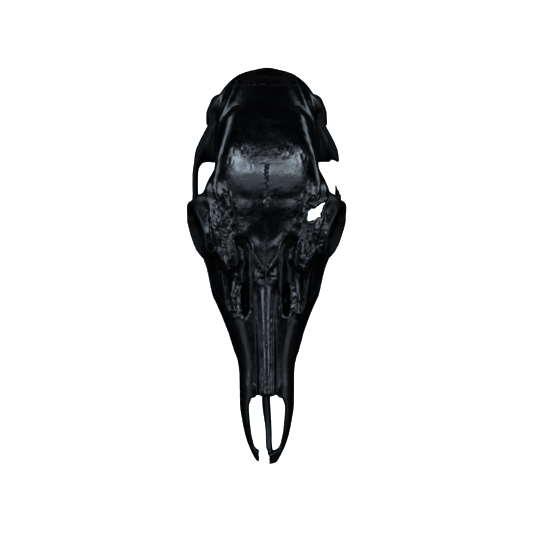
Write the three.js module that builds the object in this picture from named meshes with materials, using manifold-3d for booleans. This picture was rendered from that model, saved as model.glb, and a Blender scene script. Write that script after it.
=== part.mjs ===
// A doe's skull without its lower jaw, painted black, lying on its back molars and paroccipital processes.
// Millimetres, +Z up, the nose toward -Y, the animal's left side toward +X.
// The bones are one smooth field of distances, turned into a mesh, thinned, and cut apart along the sutures.

import * as THREE from "three";
import { mergeVertices } from "three/addons/utils/BufferGeometryUtils.js";
import Module from "manifold-3d";

const wasm = await Module();
wasm.setup();

// Driving dimensions

const SUTURE = 0.3; // gap between neighbouring bones
const CELL = 1.9; // grid step of the field
const TRIANGLES = 6000; // of the whole skull, before it is cut apart
const CUT_CLEANING = 0.004; // squared distance times area by which cleaning a cut may move a bone
const LOW = [-60, -140, -6]; // corners of the space that the field is sampled in
const HIGH = [60, 138, 104];

// The snout and cheeks, as sections along Y.
const FACE = {
  station: [-135, -128, -120, -112, -104, -95, -83, -67, -51, -35, -19, -3, 12, 26],
  halfWidth: [6, 10, 13.4, 15.6, 17.1, 18.4, 18.6, 19.2, 23.5, 29.4, 35.8, 38.6, 38, 33],
  widestAt: [29.5, 30, 31, 33, 34.5, 36, 39, 38.5, 36.5, 35, 35, 37.5, 41, 42],
  top: [34, 38, 42, 46.5, 50.5, 54, 58, 61, 64.4, 68.2, 72.2, 75.5, 77, 76],
  bottom: [26.8, 26, 25.5, 25.5, 25.7, 26, 26, 25.4, 23, 20, 17, 14.6, 13.5, 14],
};

// The forehead and braincase, as sections along Y.
const CRANIUM = {
  station: [-14, 2, 14, 28, 42, 54, 64, 80, 96, 110, 122, 130],
  halfWidth: [10, 22, 30, 35, 35.5, 33.6, 32.2, 34.8, 32.6, 29, 23.5, 15],
  widestAt: [66, 70, 74, 77, 76, 70, 63, 58, 53, 48, 45, 43],
  top: [75.5, 80.8, 83.4, 89.2, 95.2, 96.5, 95.4, 90.8, 84.8, 77, 69, 62],
  bottom: [52, 50, 44, 38, 34, 32, 30, 27.5, 25, 23.5, 22, 24],
};

// The pair of nasal bones, which stand proud of the cheeks.
const NASALS = {
  station: [-86, -60, -30, -14, -2],
  halfWidth: [6, 6.2, 7, 8, 4],
  widestAt: [57, 61, 67, 70.5, 74],
  top: [62.5, 66.5, 72.5, 76.5, 79.5],
  bottom: [53, 57, 63, 66, 69],
};

// The gap between the premaxillae, open above and below.
const APERTURE = {
  station: [-127, -124, -118, -109, -94, -88],
  halfWidth: [2.4, 7.4, 9.7, 11.2, 12, 10],
};

// The nasal cavity behind the aperture.
const CAVITY = {
  station: [-96, -84, -50, -20, -8],
  halfWidth: [11.5, 11.5, 12, 10, 5],
  widestAt: [42, 43, 44, 47, 50],
  top: [57, 58, 60, 62, 58],
  bottom: [29, 31, 31, 36, 44],
};

const SNOUT_BEND = { station: [-135, -100, -66, -25, 10, 40], shift: [0.2, 0.2, 0, -0.7, -0.4, 0] };

const ORBIT = {
  centre: new THREE.Vector3(42.1, 24.2, 61),
  facing: new THREE.Vector3(0.9, -0.28, 0.27).normalize(),
  radius: 18,
  rimThickness: 2.5,
  rimDepth: 4.2,
  cavityRadius: 17,
  cavityDepth: 28,
  openReach: 60,
  blend: 3,
};

// The upper cheek teeth from P2 back to M3: crown length, crown width and number of lobes.
const TEETH = [
  { length: 10, width: 8, lobes: 1 },
  { length: 10.5, width: 9.5, lobes: 1 },
  { length: 10, width: 10.5, lobes: 1 },
  { length: 13, width: 12, lobes: 2 },
  { length: 14.5, width: 12.5, lobes: 2 },
  { length: 15, width: 11.8, lobes: 2 },
];
const TOOTH_ROW = {
  front: -51.5, // where P2 starts
  frontX: 17.4, // middle of P2
  backX: 26, // middle of M3
  gumFront: 20, // height of the bone's edge above the floor
  gumBack: 12.5,
  crownFront: 9, // height of the biting edge above the floor
  crownBack: -0.6, // the last molar stands flat on the floor
  root: 8, // depth sunk into the bone
  wear: 1.6, // fall of the biting edge from the cheek side to the tongue side
  pit: 2.2, // depth of the hollow in each lobe
  closeness: 1.08, // length of a lobe against its share of the row
  sides: 8,
};

// Fields: each takes a point and gives about how far it lies outside a form

const smoothMin = (a, b, k) => {
  const overlap = Math.max(k - Math.abs(a - b), 0) / k;
  return Math.min(a, b) - (overlap * overlap * k) / 4;
};
const smoothMax = (a, b, k) => -smoothMin(-a, -b, k);

// A smooth curve through values at stations.
function curve(stations, values) {
  const last = stations.length - 1;
  const slopes = stations.map((_, i) => {
    const [a, b] = [Math.max(i - 1, 0), Math.min(i + 1, last)];
    return (values[b] - values[a]) / (stations[b] - stations[a]);
  });
  return (at) => {
    if (at <= stations[0]) return values[0];
    if (at >= stations[last]) return values[last];
    const i = stations.findLastIndex((s) => s <= at);
    const span = stations[i + 1] - stations[i];
    const t = (at - stations[i]) / span;
    const [t2, t3] = [t * t, t * t * t];
    return (
      (2 * t3 - 3 * t2 + 1) * values[i] +
      (t3 - 2 * t2 + t) * span * slopes[i] +
      (3 * t2 - 2 * t3) * values[i + 1] +
      (t3 - t2) * span * slopes[i + 1]
    );
  };
}

// A form along Y whose section is two half superellipses, joined at its widest level.
function loft(form, upperPower, lowerPower, endRounding) {
  const [width, level, top, bottom] = ["halfWidth", "widestAt", "top", "bottom"].map((column) =>
    curve(form.station, form[column]),
  );
  const [front, back] = [form.station[0], form.station.at(-1)];
  return (x, y, z) => {
    const [w, middle] = [width(y), level(y)];
    const above = z > middle;
    const h = above ? top(y) - middle : middle - bottom(y);
    const power = above ? upperPower : lowerPower;
    const share = (Math.abs(x / w) ** power + Math.abs((z - middle) / h) ** power) ** (1 / power);
    const ends = Math.max(front - y, y - back);
    return smoothMax((share - 1) * Math.min(w, h), ends, endRounding);
  };
}

function ellipsoid(centre, radii) {
  return (x, y, z) => {
    const [a, b, c] = [x - centre[0], y - centre[1], z - centre[2]];
    const scaled = Math.hypot(a / radii[0], b / radii[1], c / radii[2]);
    const steep = Math.hypot(a / radii[0] ** 2, b / radii[1] ** 2, c / radii[2] ** 2);
    return steep < 1e-9 ? -Math.min(...radii) : (scaled * (scaled - 1)) / steep;
  };
}

// A rod along a smooth curve through points, each [x, y, z, half width in X, in Y and in Z].
function rod(points, piecesPerSpan = 4) {
  const knots = points.map((_, i) => i);
  const columns = points[0].map((_, axis) => curve(knots, points.map((p) => p[axis])));
  const count = (points.length - 1) * piecesPerSpan;
  const at = (i) => columns.map((column) => column(i / piecesPerSpan));
  const path = Array.from({ length: count + 1 }, (_, i) => at(i));
  const reach = path.map(([x, y, z, rx, ry, rz]) => [x, y, z, Math.max(rx, ry, rz)]);
  const low = [0, 1, 2].map((axis) => Math.min(...reach.map((p) => p[axis] - p[3])));
  const high = [0, 1, 2].map((axis) => Math.max(...reach.map((p) => p[axis] + p[3])));
  return (x, y, z) => {
    const outside = Math.max(low[0] - x, x - high[0], low[1] - y, y - high[1], low[2] - z, z - high[2]);
    if (outside > 8) return outside;
    let nearest = Infinity;
    for (let i = 0; i < count; i++) {
      const [a, b] = [path[i], path[i + 1]];
      const [dx, dy, dz] = [b[0] - a[0], b[1] - a[1], b[2] - a[2]];
      const along = ((x - a[0]) * dx + (y - a[1]) * dy + (z - a[2]) * dz) / (dx * dx + dy * dy + dz * dz);
      const t = THREE.MathUtils.clamp(along, 0, 1);
      const [rx, ry, rz] = [3, 4, 5].map((axis) => a[axis] + t * (b[axis] - a[axis]));
      const scaled = Math.hypot((x - a[0] - t * dx) / rx, (y - a[1] - t * dy) / ry, (z - a[2] - t * dz) / rz);
      nearest = Math.min(nearest, (scaled - 1) * Math.min(rx, ry, rz));
    }
    return nearest;
  };
}

// How far a point of the plan lies outside a closed outline.
function outline(corners) {
  return (x, y) => {
    let nearest = Infinity;
    let inside = false;
    corners.forEach(([ax, ay], i) => {
      const [bx, by] = corners[(i + 1) % corners.length];
      const [ex, ey] = [bx - ax, by - ay];
      const t = THREE.MathUtils.clamp(((x - ax) * ex + (y - ay) * ey) / (ex * ex + ey * ey), 0, 1);
      nearest = Math.min(nearest, Math.hypot(x - ax - t * ex, y - ay - t * ey));
      if (ay > y !== by > y && x < ax + (ex * (y - ay)) / ey) inside = !inside;
    });
    return inside ? -nearest : nearest;
  };
}

const face = loft(FACE, 2.2, 2.6, 4);
const cranium = loft(CRANIUM, 2.9, 1.9, 7);
const nasals = loft(NASALS, 2.2, 2, 3);
const cavity = loft(CAVITY, 2, 2, 8);
const apertureWidth = curve(APERTURE.station, APERTURE.halfWidth);
const aperture = (x, y) =>
  Math.max(x - apertureWidth(y), y - APERTURE.station.at(-1), APERTURE.station[0] - y);

// Bony struts and knobs of one side; the other side is their mirror image.
const toothRidge = rod([
  [16.8, -54, 29, 4, 5, 9],
  [21.8, -27, 25, 5.4, 6, 10],
  [25, 0, 22.5, 6, 6, 10.5],
  [25.5, 20, 23, 5.6, 5, 10],
]);
const jugal = rod([
  [31.5, -16, 37, 3.5, 5, 7],
  [35.4, 0, 40, 3.4, 4, 7.5],
  [42.6, 14, 42, 3.4, 4, 6.5],
  [48.4, 30, 44.5, 2.8, 3, 5],
]);
const orbitalPlate = rod([
  [32, 0, 38, 5, 6, 7],
  [35.5, 14, 37, 7.6, 6, 7],
  [40.6, 28, 40, 7, 5, 4.5],
  [42.8, 38, 42, 5, 4, 3.4],
]);
const archRoot = rod([[30, 79, 44, 6, 9, 4.4], [38, 78, 44.6, 5, 8, 4], [44.6, 75.6, 44.8, 2.6, 5, 3.6]]);
const arch = rod([
  [48.6, 32, 45, 2.4, 3, 5],
  [47.9, 46, 45.6, 2.1, 3, 4.8],
  [48, 57, 45.6, 2, 3, 4.5],
  [47.4, 67, 45, 2.1, 3, 4.2],
  [44, 77, 44.8, 2.8, 3, 4],
  [39.4, 86, 45, 4.4, 4, 4.2],
  [35.4, 96, 44.5, 3.8, 4, 4],
  [36.6, 104, 41.5, 3.2, 3.4, 4.4],
]);
const orbitShelf = rod([
  [36, 10, 46, 5, 6, 3],
  [41, 23, 45.6, 5.2, 6, 2.6],
  [42.6, 32, 46.4, 4.8, 5, 2.4],
  [45, 38, 47, 2.4, 3, 2.4],
]);
const postorbital = rod([
  [22, 53, 87, 9, 7, 5],
  [33, 51.5, 81, 6, 6, 4.2],
  [41.4, 45.4, 74.5, 4.2, 3.6, 4],
  [47.2, 42.2, 66, 3, 2.6, 5],
  [49, 40.2, 56, 2.5, 2.6, 6],
  [48.8, 38, 47, 2.4, 4, 4],
]);
const frontalPad = rod([
  [21, 48, 89.4, 11.5, 9, 4.6],
  [21, 62, 89, 11.5, 9, 4.6],
  [20.5, 74, 87, 9.6, 9, 4.4],
  [19.5, 88, 80.4, 6.5, 9, 3.6],
]);
const brow = rod([
  [22, 4, 76.5, 4, 5, 3],
  [25.5, 15, 80.6, 5, 6, 3.4],
  [28.5, 28, 83, 5.6, 7, 3.6],
  [31, 41, 82, 6, 6, 3.4],
  [40.5, 43.6, 74, 4, 3.4, 4],
]);
const browEdge = rod([
  [27, 8, 73, 4, 5, 3],
  [34, 18, 74, 4.6, 6, 2.6],
  [37.5, 30, 74, 4.6, 6, 2.6],
  [38.6, 40, 74, 5, 4.4, 3],
  [44, 42.5, 70, 3.4, 3, 4],
]);
const nuchalCrest = rod([
  [0, 128.4, 61, 3.4, 2.4, 2.8],
  [9, 126.4, 60.4, 4, 2.3, 2.4],
  [17, 124.4, 58, 3, 2.3, 2.4],
  [25.4, 118.6, 53.5, 2.6, 2.3, 2.8],
  [32.4, 109.6, 48, 2.6, 2.3, 3.4],
  [37, 105, 42, 2.2, 2.4, 4],
]);
const temporalLine = rod([
  [35.5, 50, 84, 2.4, 2.4, 2],
  [31.4, 62, 81, 1.8, 2, 1.8],
  [31.6, 75, 74.5, 1.6, 2, 2],
  [30.6, 91, 71, 1.6, 2, 2],
  [25.2, 104, 71.4, 1.6, 2, 1.7],
  [18.6, 121, 63.4, 1.8, 2, 2],
]);
const earTube = rod([[27, 94, 33, 6, 5, 5], [35, 97.5, 35.5, 4.2, 4.4, 4.4], [38.6, 99, 37.5, 3.2, 4, 4]]);
const earHole = ellipsoid([41, 99.2, 38], [5, 1.9, 1.9]);
const bulla = ellipsoid([20.5, 89, 23.5], [7.6, 12.5, 9]);
const condyle = ellipsoid([12.4, 118.5, 25.5], [8.6, 10.5, 10.5]);
const paroccipital = rod([
  [31, 110, 42, 7, 6.4, 8],
  [30, 110.5, 29, 6, 6.4, 7],
  [28.8, 109.5, 14, 4.4, 5.4, 6],
  [28, 107.5, -3, 3, 3.6, 5],
]);
const pterygoid = rod([
  [13.5, 16, 30, 2.4, 4, 12],
  [12.5, 34, 32, 2, 4, 13],
  [11, 50, 33, 1.8, 4, 11],
  [9.6, 60, 31, 2.4, 4, 6],
]);
const lacrimalRidge = rod([
  [25, -24, 62, 2, 4, 2],
  [27, -8, 68.5, 2.2, 4, 2.2],
  [28.5, 5, 75.5, 2.6, 4, 2.6],
]);

// Hollows and holes of one side.
const temporalFossa = ellipsoid([44, 61, 64], [13.5, 18.5, 20]);
const orbitFloor = ellipsoid([37, 42, 33], [21, 17, 23]);
const lacrimalPitPath = [[16.5, 9, 86, 4.6, 6, 8], [18.4, -8, 79, 6, 6, 9], [20.5, -25, 72.6, 4.6, 6, 6]];
const lacrimalPit = rod(lacrimalPitPath, 12);
const vacuity = ellipsoid([13.4, -21, 62], [2.8, 12, 14]);
const infraorbital = ellipsoid([22.5, -43, 36], [4, 5, 2.6]);
const supraorbitalPit = ellipsoid([20, 20, 91], [2.2, 9, 4]);
const choana = ellipsoid([0, 36, 28], [8.5, 27, 15]);
const palateVault = ellipsoid([0, -25, 12], [14, 62, 12]);
const napeHollow = ellipsoid([15, 137, 46], [15, 12, 10]);
const foramenMagnum = ellipsoid([0, 128, 34], [10, 24, 9]);

// The bar between the premaxillae leans toward the left tip, which it joins.
const medianBar = rod([
  [-0.8, -78, 31, 2.6, 3, 4],
  [-0.4, -95, 30, 2.9, 3, 3.6],
  [1, -110, 29.6, 2.3, 3, 3],
  [1.6, -124, 29.5, 2.2, 3, 2.8],
  [4.5, -131.5, 29.5, 2.6, 2.6, 2.8],
]);

// Old breaks: the left arch is gone between two stumps, the left brow has a hole, the right nose tip is lost.
const BREAKS = {
  arch: [
    [38, 47.6], [43.2, 48.8], [44.4, 50.6], [45.6, 54.8], [46.6, 55], [47.2, 52.4], [48.6, 48.6], [58, 47],
    [58, 75], [49.4, 71.6], [47.6, 70.4], [46.2, 71.4], [43.8, 72.6], [42.4, 70.8], [41.4, 69.7], [36, 70.2],
  ],
  archLow: 34,
  archHigh: 60,
  brow: [[26.9, 29], [26.2, 33], [28, 37], [31, 38], [33.8, 40], [38.6, 42.4], [36, 37], [35.4, 32.4]],
  browLow: 58,
  tip: [[-5.6, -126], [-5.4, -131], [-6.4, -140], [1.8, -140], [2, -130], [-0.6, -124]],
};
const archOutline = outline(BREAKS.arch);
const browOutline = outline(BREAKS.brow);
const tipOutline = outline(BREAKS.tip);

// The orbit's own axes: back along the head, up across its opening, and out of it.
const orbitOut = ORBIT.facing;
const orbitBack = new THREE.Vector3(0, 1, 0).addScaledVector(orbitOut, -orbitOut.y).normalize();
const orbitUp = new THREE.Vector3().crossVectors(orbitOut, orbitBack).normalize();

function orbitFields(x, y, z) {
  const offset = new THREE.Vector3(x, y, z).sub(ORBIT.centre);
  const [back, up, out] = [orbitBack, orbitUp, orbitOut].map((axis) => offset.dot(axis));
  const spread = Math.hypot(back, up);
  const rim =
    (Math.hypot((spread - ORBIT.radius) / ORBIT.rimThickness, out / ORBIT.rimDepth) - 1) * ORBIT.rimThickness;
  const deep = out > 0 ? ORBIT.openReach : ORBIT.cavityDepth;
  const hollow = (Math.hypot(spread / ORBIT.cavityRadius, out / deep) - 1) * ORBIT.cavityRadius;
  return [rim, hollow];
}

// Joined, cut and joined again in this order, each with the width over which it blends into the rest.
const MASSES = [
  [cranium, 8],
  [toothRidge, 5],
  [orbitalPlate, 5],
  [bulla, 4],
  [condyle, 4],
  [earTube, 4],
  [postorbital, 6],
  [lacrimalRidge, 5],
  [frontalPad, 5],
];
const HOLLOWS = [
  [lacrimalPit, 6],
  [orbitFloor, 4],
  [temporalFossa, 6],
  [choana, 3],
  [palateVault, 4],
  [napeHollow, 5],
];
const STRUTS = [
  [nuchalCrest, 5],
  [temporalLine, 5],
  [jugal, 4],
  [orbitShelf, 3],
  [brow, 5],
  [browEdge, 4],
  [arch, 3],
  [archRoot, 4],
  [paroccipital, 4],
  [pterygoid, 3],
  [nasals, 1.5],
];
const OPENINGS = [
  [cavity, 2],
  [vacuity, 2],
  [aperture, 2],
  [foramenMagnum, 2],
  [infraorbital, 1.5],
  [supraorbitalPit, 1.5],
  [earHole, 1],
];

const BAR_BLEND = 1.5;

// The face bends a little to the right between the orbits and the snout's tip a little to the left.
const lean = curve(SNOUT_BEND.station, SNOUT_BEND.shift);

function skull(atX, y, z) {
  const x = atX - lean(y);
  const side = Math.abs(x);
  const [rim, hollow] = orbitFields(side, y, z);
  let d = face(side, y, z);
  for (const [form, k] of MASSES) d = smoothMin(d, form(side, y, z), k);
  for (const [form, k] of HOLLOWS) d = smoothMax(d, -form(side, y, z), k);
  d = smoothMax(d, -hollow, ORBIT.blend);
  d = smoothMin(d, rim, ORBIT.blend);
  for (const [form, k] of STRUTS) d = smoothMin(d, form(side, y, z), k);
  for (const [form, k] of OPENINGS) d = smoothMax(d, -form(side, y, z), k);
  d = smoothMin(d, medianBar(x, y, z), BAR_BLEND);
  const lostArch = Math.max(archOutline(x, y), BREAKS.archLow - z, z - BREAKS.archHigh);
  const lostBrow = Math.max(browOutline(x, y), BREAKS.browLow - z);
  d = Math.max(d, -lostArch, -lostBrow, -tipOutline(x, y));
  // The floor
  return Math.max(d, -z);
}

// Meshing: one vertex in each cell that the surface crosses, and a quad across each crossed edge

// Where only two opposite corners of a grid square are inside, a third is filled, so no two sheets touch.
function fillSaddles(values, steps, fill) {
  const planes = [[0, 1], [1, 2], [2, 0]].map(([a, b]) => [steps[a], steps[b]]);
  let filled = true;
  while (filled) {
    filled = false;
    for (const [u, v] of planes)
      for (let at = 0; at + u + v < values.length; at++) {
        const [a, b, c, d] = [at, at + u, at + v, at + u + v].map((i) => values[i] < 0);
        if (a !== d || b !== c || a === b) continue;
        values[a ? at + u : at] = fill;
        filled = true;
      }
  }
}

function surfaceNet(field, low, high, cell) {
  const counts = low.map((v, i) => Math.ceil((high[i] - v) / cell) + 1);
  const [nx, ny, nz] = counts;
  const index = (i, j, k) => i + nx * (j + ny * k);
  const values = new Float32Array(nx * ny * nz);
  for (let k = 0; k < nz; k++)
    for (let j = 0; j < ny; j++)
      for (let i = 0; i < nx; i++)
        values[index(i, j, k)] = field(low[0] + i * cell, low[1] + j * cell, low[2] + k * cell);

  const steps = [1, nx, nx * ny];
  fillSaddles(values, steps, -0.1 * cell);

  const points = [];
  const vertexOf = new Int32Array(values.length).fill(-1);
  const corners = [0, 1, 2, 3, 4, 5, 6, 7].map((c) => [c & 1, (c >> 1) & 1, c >> 2]);
  const edges = corners.flatMap((_, m) => [1, 2, 4].filter((bit) => !(m & bit)).map((bit) => [m, m | bit]));
  for (let k = 0; k + 1 < nz; k++)
    for (let j = 0; j + 1 < ny; j++)
      for (let i = 0; i + 1 < nx; i++) {
        const v = corners.map(([a, b, c]) => values[index(i + a, j + b, k + c)]);
        const sum = [0, 0, 0];
        let crossings = 0;
        for (const [m, n] of edges) {
          if (v[m] < 0 === v[n] < 0) continue;
          const t = v[m] / (v[m] - v[n]);
          for (let axis = 0; axis < 3; axis++)
            sum[axis] += corners[m][axis] + t * (corners[n][axis] - corners[m][axis]);
          crossings++;
        }
        if (!crossings) continue;
        vertexOf[index(i, j, k)] = points.length;
        points.push([i, j, k].map((at, axis) => low[axis] + cell * (at + sum[axis] / crossings)));
      }

  const faces = [];
  for (let k = 1; k + 1 < nz; k++)
    for (let j = 1; j + 1 < ny; j++)
      for (let i = 1; i + 1 < nx; i++) {
        const here = index(i, j, k);
        for (let axis = 0; axis < 3; axis++) {
          const inside = values[here] < 0;
          if (inside === values[here + steps[axis]] < 0) continue;
          const [u, v] = [steps[(axis + 1) % 3], steps[(axis + 2) % 3]];
          const quad = [here, here - u, here - u - v, here - v].map((cellIndex) => vertexOf[cellIndex]);
          if (!inside) quad.reverse();
          faces.push([quad[0], quad[1], quad[2]], [quad[0], quad[2], quad[3]]);
        }
      }
  return { points, faces };
}

// Thinning: pass by pass, the edges whose closing moves the surface least are closed

const SLIVER = 0.02; // twice the area of the smallest face worth keeping

const minus = (a, b) => [a[0] - b[0], a[1] - b[1], a[2] - b[2]];
const dot = (a, b) => a[0] * b[0] + a[1] * b[1] + a[2] * b[2];
const cross = (a, b) => [a[1] * b[2] - a[2] * b[1], a[2] * b[0] - a[0] * b[2], a[0] * b[1] - a[1] * b[0]];
const faceNormal = (a, b, c) => cross(minus(b, a), minus(c, a));

// The summed squared distances from a point to the planes in a quadric.
function quadricCost(q, [x, y, z]) {
  const squares = q[0] * x * x + q[4] * y * y + q[7] * z * z;
  const products = q[1] * x * y + q[2] * x * z + q[5] * y * z;
  return squares + 2 * (products + q[3] * x + q[6] * y + q[8] * z) + q[9];
}

// The point nearest to all planes of a quadric, or nothing where they are nearly parallel.
function quadricPoint(q) {
  const rows = [[q[0], q[1], q[2]], [q[1], q[4], q[5]], [q[2], q[5], q[7]]];
  const size = dot(rows[0], cross(rows[1], rows[2]));
  if (Math.abs(size) < 1e-4 * (q[0] + q[4] + q[7]) ** 3) return null;
  const right = [-q[3], -q[6], -q[8]];
  return [0, 1, 2].map((column) => {
    const swapped = rows.map((row, i) => row.map((value, j) => (j === column ? right[i] : value)));
    return dot(swapped[0], cross(swapped[1], swapped[2])) / size;
  });
}

function closing(p, q, points, quadrics) {
  const quadric = quadrics[p].map((value, i) => value + quadrics[q][i]);
  const [a, b] = [points[p], points[q]];
  const middle = a.map((value, axis) => (value + b[axis]) / 2);
  const length = Math.hypot(...minus(a, b));
  const best = quadricPoint(quadric);
  const near = best && Math.hypot(...minus(best, middle)) < length;
  const at = near ? best : middle;
  return { p, q, at, quadric, cost: quadricCost(quadric, at) + 1e-4 * length * length };
}

// Closes edges until few enough faces are left, or until no edge costs less than the dearest allowed.
function thin({ points, faces }, target, dearest) {
  const quadrics = points.map(() => new Float64Array(10));
  for (const face of faces) {
    const corner = points[face[0]];
    const normal = faceNormal(...face.map((v) => points[v]));
    const area = Math.hypot(...normal);
    if (area < 1e-9) continue;
    const [a, b, c] = normal.map((value) => value / area);
    const d = -dot([a, b, c], corner);
    const terms = [a * a, a * b, a * c, a * d, b * b, b * c, b * d, c * c, c * d, d * d];
    for (const v of face) terms.forEach((term, i) => (quadrics[v][i] += term * area));
  }
  while (faces.length > target) {
    const fans = points.map(() => []);
    faces.forEach((face, n) => face.forEach((v) => fans[v].push(n)));
    const ring = (v) => new Set(fans[v].flatMap((n) => faces[n]).filter((other) => other !== v));
    const closings = faces.flatMap((face) =>
      face
        .map((p, i) => [p, face[(i + 1) % 3]])
        .filter(([p, q]) => p < q)
        .map(([p, q]) => closing(p, q, points, quadrics))
        .filter(({ cost }) => cost < dearest),
    );
    closings.sort((m, n) => m.cost - n.cost);
    const busy = new Uint8Array(points.length);
    const goal = Math.max(target, Math.floor(faces.length * 0.75));
    let left = faces.length;
    for (const { p, q, at, quadric } of closings) {
      if (left <= goal) break;
      if (busy[p] || busy[q]) continue;
      const [around, beside] = [ring(p), ring(q)];
      const shared = [...around].filter((v) => beside.has(v));
      if (shared.length !== 2) continue;
      const near = [...fans[p], ...fans[q]].map((n) => faces[n]);
      const kept = near.filter((face) => !(face.includes(p) && face.includes(q)));
      const folds = kept.some((face) => {
        const old = faceNormal(...face.map((v) => points[v]));
        const now = faceNormal(...face.map((v) => (v === p || v === q ? at : points[v])));
        const [was, becomes] = [Math.hypot(...old), Math.hypot(...now)];
        const turns = was > SLIVER && dot(old, now) < 0.3 * was * becomes;
        return turns || becomes < Math.min(was, SLIVER);
      });
      if (folds) continue;
      points[p] = at;
      quadrics[p] = quadric;
      for (const n of fans[q]) faces[n] = faces[n].map((v) => (v === q ? p : v));
      for (const v of [p, q, ...around, ...beside]) busy[v] = 1;
      left -= 2;
    }
    const open = faces.filter(([a, b, c]) => a !== b && b !== c && c !== a);
    if (open.length === faces.length) break;
    faces = open;
  }
  return { points, faces };
}

// Solids: closed meshes that can be joined and cut

function solidOf({ points, faces }) {
  const used = new Map();
  faces.flat().forEach((v) => used.has(v) || used.set(v, used.size));
  const vertProperties = new Float32Array([...used.keys()].flatMap((v) => points[v]));
  const triVerts = new Uint32Array(faces.flat().map((v) => used.get(v)));
  return new wasm.Manifold(new wasm.Mesh({ numProp: 3, vertProperties, triVerts }));
}

function solidFromGeometry(geometry) {
  geometry.deleteAttribute("normal");
  geometry.deleteAttribute("uv");
  const merged = mergeVertices(geometry, 1e-4);
  const vertProperties = new Float32Array(merged.attributes.position.array);
  const triVerts = new Uint32Array(merged.index.array);
  return new wasm.Manifold(new wasm.Mesh({ numProp: 3, vertProperties, triVerts }));
}

function meshOf(solid) {
  const { vertProperties, triVerts } = solid.getMesh();
  const triple = (list, i) => [list[3 * i], list[3 * i + 1], list[3 * i + 2]];
  const points = Array.from({ length: vertProperties.length / 3 }, (_, i) => triple(vertProperties, i));
  const faces = Array.from({ length: triVerts.length / 3 }, (_, i) => triple(triVerts, i));
  return { points, faces };
}

const largest = (solid) => solid.decompose().reduce((a, b) => (a.volume() > b.volume() ? a : b));

// Each corner of an outline moved inward, where its two sides meet once they are moved.
function inset(corners, by) {
  const turn = Math.sign(THREE.ShapeUtils.area(corners));
  return corners.map((corner, i) => {
    const before = corners.at(i - 1);
    const after = corners[(i + 1) % corners.length];
    const [first, second] = [corner.clone().sub(before).normalize(), after.clone().sub(corner).normalize()];
    const normals = [first, second].map((side) => new THREE.Vector2(-side.y, side.x).multiplyScalar(turn));
    const bisector = normals[0].add(normals[1]);
    return corner.clone().addScaledVector(bisector, (2 * by) / bisector.lengthSq());
  });
}

const REACH = 160; // longer than the skull is wide or high

function prism(corners, by) {
  const points = inset(corners.map(([u, v]) => new THREE.Vector2(u, v)), by);
  return new THREE.ExtrudeGeometry(new THREE.Shape(points), { depth: 2 * REACH, bevelEnabled: false })
    .translate(0, 0, -REACH);
}

// The space inside an outline of the plan (X, Y) and an outline seen from the side (Y, Z).
function territory({ plan, side }, by, mirrored) {
  const corners = mirrored ? plan.map(([x, y]) => [-x, y]).reverse() : plan;
  const above = solidFromGeometry(prism(corners, by));
  const sideways = new THREE.Matrix4().set(0, 0, 1, 0, 1, 0, 0, 0, 0, 1, 0, 0, 0, 0, 0, 1);
  return above.intersect(solidFromGeometry(prism(side, by).applyMatrix4(sideways)));
}

// The bones in the order in which they are cut free; whatever is left is the sphenoid.
const BONES = [
  {
    name: "vomer",
    plan: [[-5.6, -88], [4.2, -88], [4.6, -122], [3, -128.4], [-3, -128.4], [-5.4, -118]],
    side: [[-150, 10], [-60, 10], [-60, 52], [-150, 52]],
  },
  {
    name: "nasal",
    paired: true,
    plan: [[0, -95], [7, -95], [7, -60], [7.4, -30], [8.4, -14], [5, -3], [0, -1]],
    side: [[-95, 53], [-60, 59], [-30, 65], [2, 72], [2, 110], [-95, 110]],
  },
  {
    name: "premaxilla",
    paired: true,
    plan: [[0, -150], [40, -150], [40, -60], [0, -60]],
    side: [[-150, -10], [-94, -10], [-94, 27], [-73, 56], [-73, 110], [-150, 110]],
  },
  {
    name: "lacrimal",
    paired: true,
    plan: [[13, 5], [13, -10], [20, -24], [29, -22], [38, -8], [40, 4], [34, 11], [22, 13]],
    side: [[-40, 50], [-12, 46], [30, 52], [30, 110], [-40, 110]],
  },
  {
    name: "zygomatic",
    paired: true,
    plan: [[31, -24], [70, -24], [70, 55.5], [42, 55.5], [42, 30], [37, 14], [31, 4]],
    side: [[-30, 31], [70, 31], [70, 60], [36, 60], [20, 53], [-30, 46]],
  },
  {
    name: "frontal",
    paired: true,
    plan: [
      [0, -1], [5, -3], [8.4, -14], [13, -11], [13, 5], [22, 13],
      [34, 11], [70, 2], [70, 58], [36, 65], [14, 73], [0, 70],
    ],
    side: [[-20, 63], [12, 60], [50, 56], [90, 56], [90, 110], [-20, 110]],
  },
  {
    name: "parietal",
    plan: [
      [-70, 58], [-36, 65], [-14, 73], [0, 70], [14, 73], [36, 65],
      [70, 58], [70, 114], [20, 118], [-20, 118], [-70, 114],
    ],
    side: [[50, 57], [72, 57], [98, 55], [112, 60], [126, 66], [126, 110], [50, 110]],
  },
  {
    name: "bulla",
    paired: true,
    plan: [[10.5, 76], [30.5, 76], [30.5, 102], [15, 102], [10.5, 94]],
    side: [[70, -10], [110, -10], [110, 29], [70, 30]],
  },
  {
    name: "temporal",
    paired: true,
    plan: [[24, 60], [40, 52], [70, 52], [70, 104], [37, 103], [24, 99]],
    side: [[40, 27], [120, 27], [120, 70], [40, 70]],
  },
  {
    name: "occipital",
    plan: [
      [-70, 103], [-37, 102.5], [-24, 99], [-10, 90], [10, 90],
      [24, 99], [37, 102.5], [70, 103], [70, 150], [-70, 150],
    ],
    side: [[80, -10], [150, -10], [150, 110], [80, 110]],
  },
  {
    name: "maxilla",
    paired: true,
    plan: [[0, -110], [70, -110], [70, 26], [13, 26], [11, 14], [0, 12]],
    side: [[-110, -10], [40, -10], [40, 38], [18, 44], [2, 56], [-8, 90], [-110, 90]],
  },
];

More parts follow.
